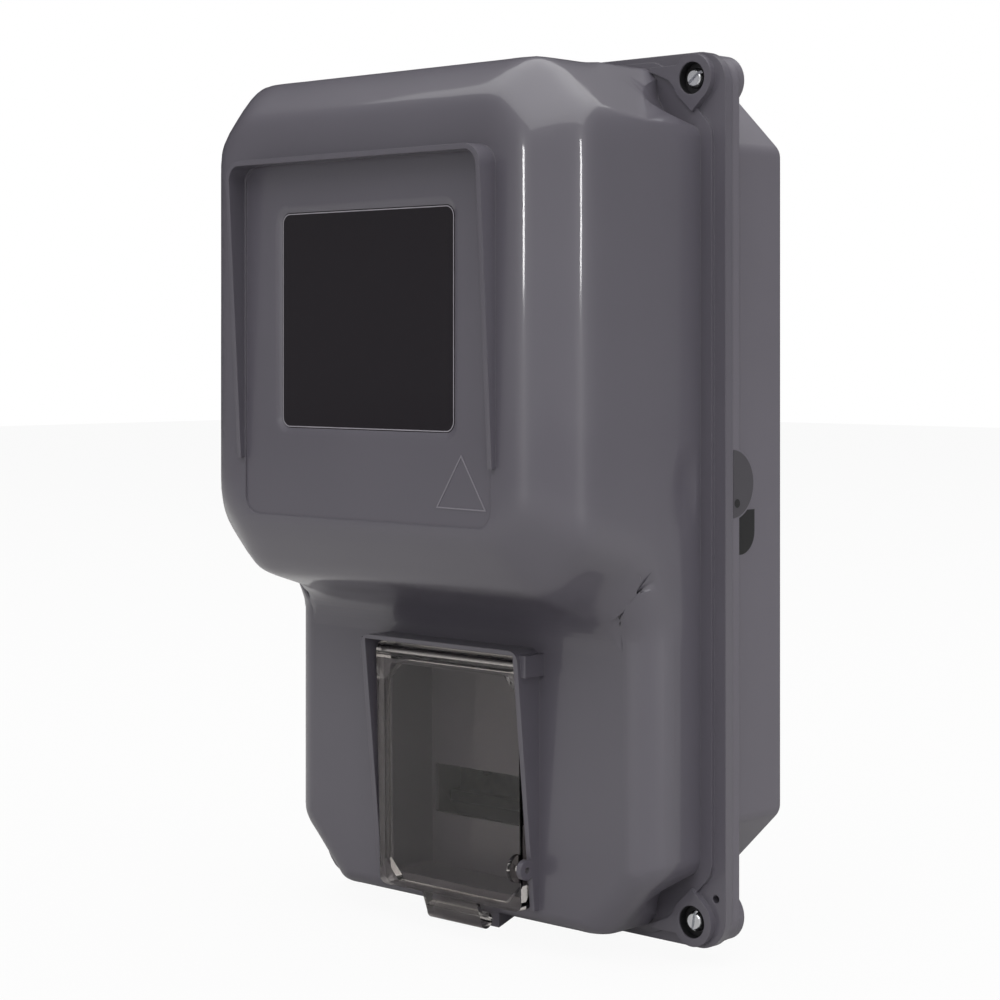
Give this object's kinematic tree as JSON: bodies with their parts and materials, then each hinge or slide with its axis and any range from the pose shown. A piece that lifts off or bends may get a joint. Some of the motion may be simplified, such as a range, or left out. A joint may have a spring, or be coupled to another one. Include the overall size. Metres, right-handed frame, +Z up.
{
  "type": "electric meter box",
  "caption": "Wall mounted plastic enclosure for an electricity meter, with a hooded viewing window and a hinged clear lid over a recessed breaker slot.",
  "frame": {"origin": "middle of the flat wall face of the base, midway between the cover screws", "axes": "+X to the right seen from the front, +Y into the wall, +Z up"},
  "size_m": [0.251, 0.16, 0.3865],
  "materials": {
    "cover_plastic": "smooth moulded violet grey, semi-gloss",
    "base_plastic": "smooth moulded violet grey, a little lighter",
    "frame_plastic": "moulded dark grey",
    "seal_rubber": "soft black",
    "grommet_rubber": "soft black",
    "screw_steel": "zinc plated",
    "bar_brass": "drawn brass",
    "holder_plastic": "moulded grey",
    "galvanised_steel": "galvanised sheet",
    "tinted_pane": "dark tinted clear plastic",
    "clear_plastic": "clear, lightly smoked"
  },
  "bodies": {
    "box": {"front_cover": "cover_plastic", "rear_base": "base_plastic", "window_frame": "frame_plastic", "cover_gasket": "seal_rubber", "window_seal": "seal_rubber", "cable_grommet_left": "grommet_rubber", "cable_grommet_middle": "grommet_rubber", "cable_grommet_right": "grommet_rubber", "cover_screws": "screw_steel", "window_screws": "screw_steel", "plate_screws": "screw_steel", "rail_screws": "screw_steel", "holder_screws": "screw_steel", "neutral_bar_screws": "screw_steel", "earth_bar_screws": "screw_steel", "lid_hinge_rod": "screw_steel", "cover_inserts": "bar_brass", "neutral_bar": "bar_brass", "earth_bar": "bar_brass", "neutral_bar_holder": "holder_plastic", "earth_bar_holder": "holder_plastic", "meter_plate": "galvanised_steel", "din_rail": "galvanised_steel", "window_pane": "tinted_pane"},
    "lid": {"breaker_lid": "clear_plastic"}
  },
  "joints": [
    {"name": "lid_hinge", "type": "hinge", "parent": "box", "child": "lid", "pos_m": [0, -0.095, -0.0739], "axis": [-1, 0, 0], "range_deg": [0, 85]}
  ]
}
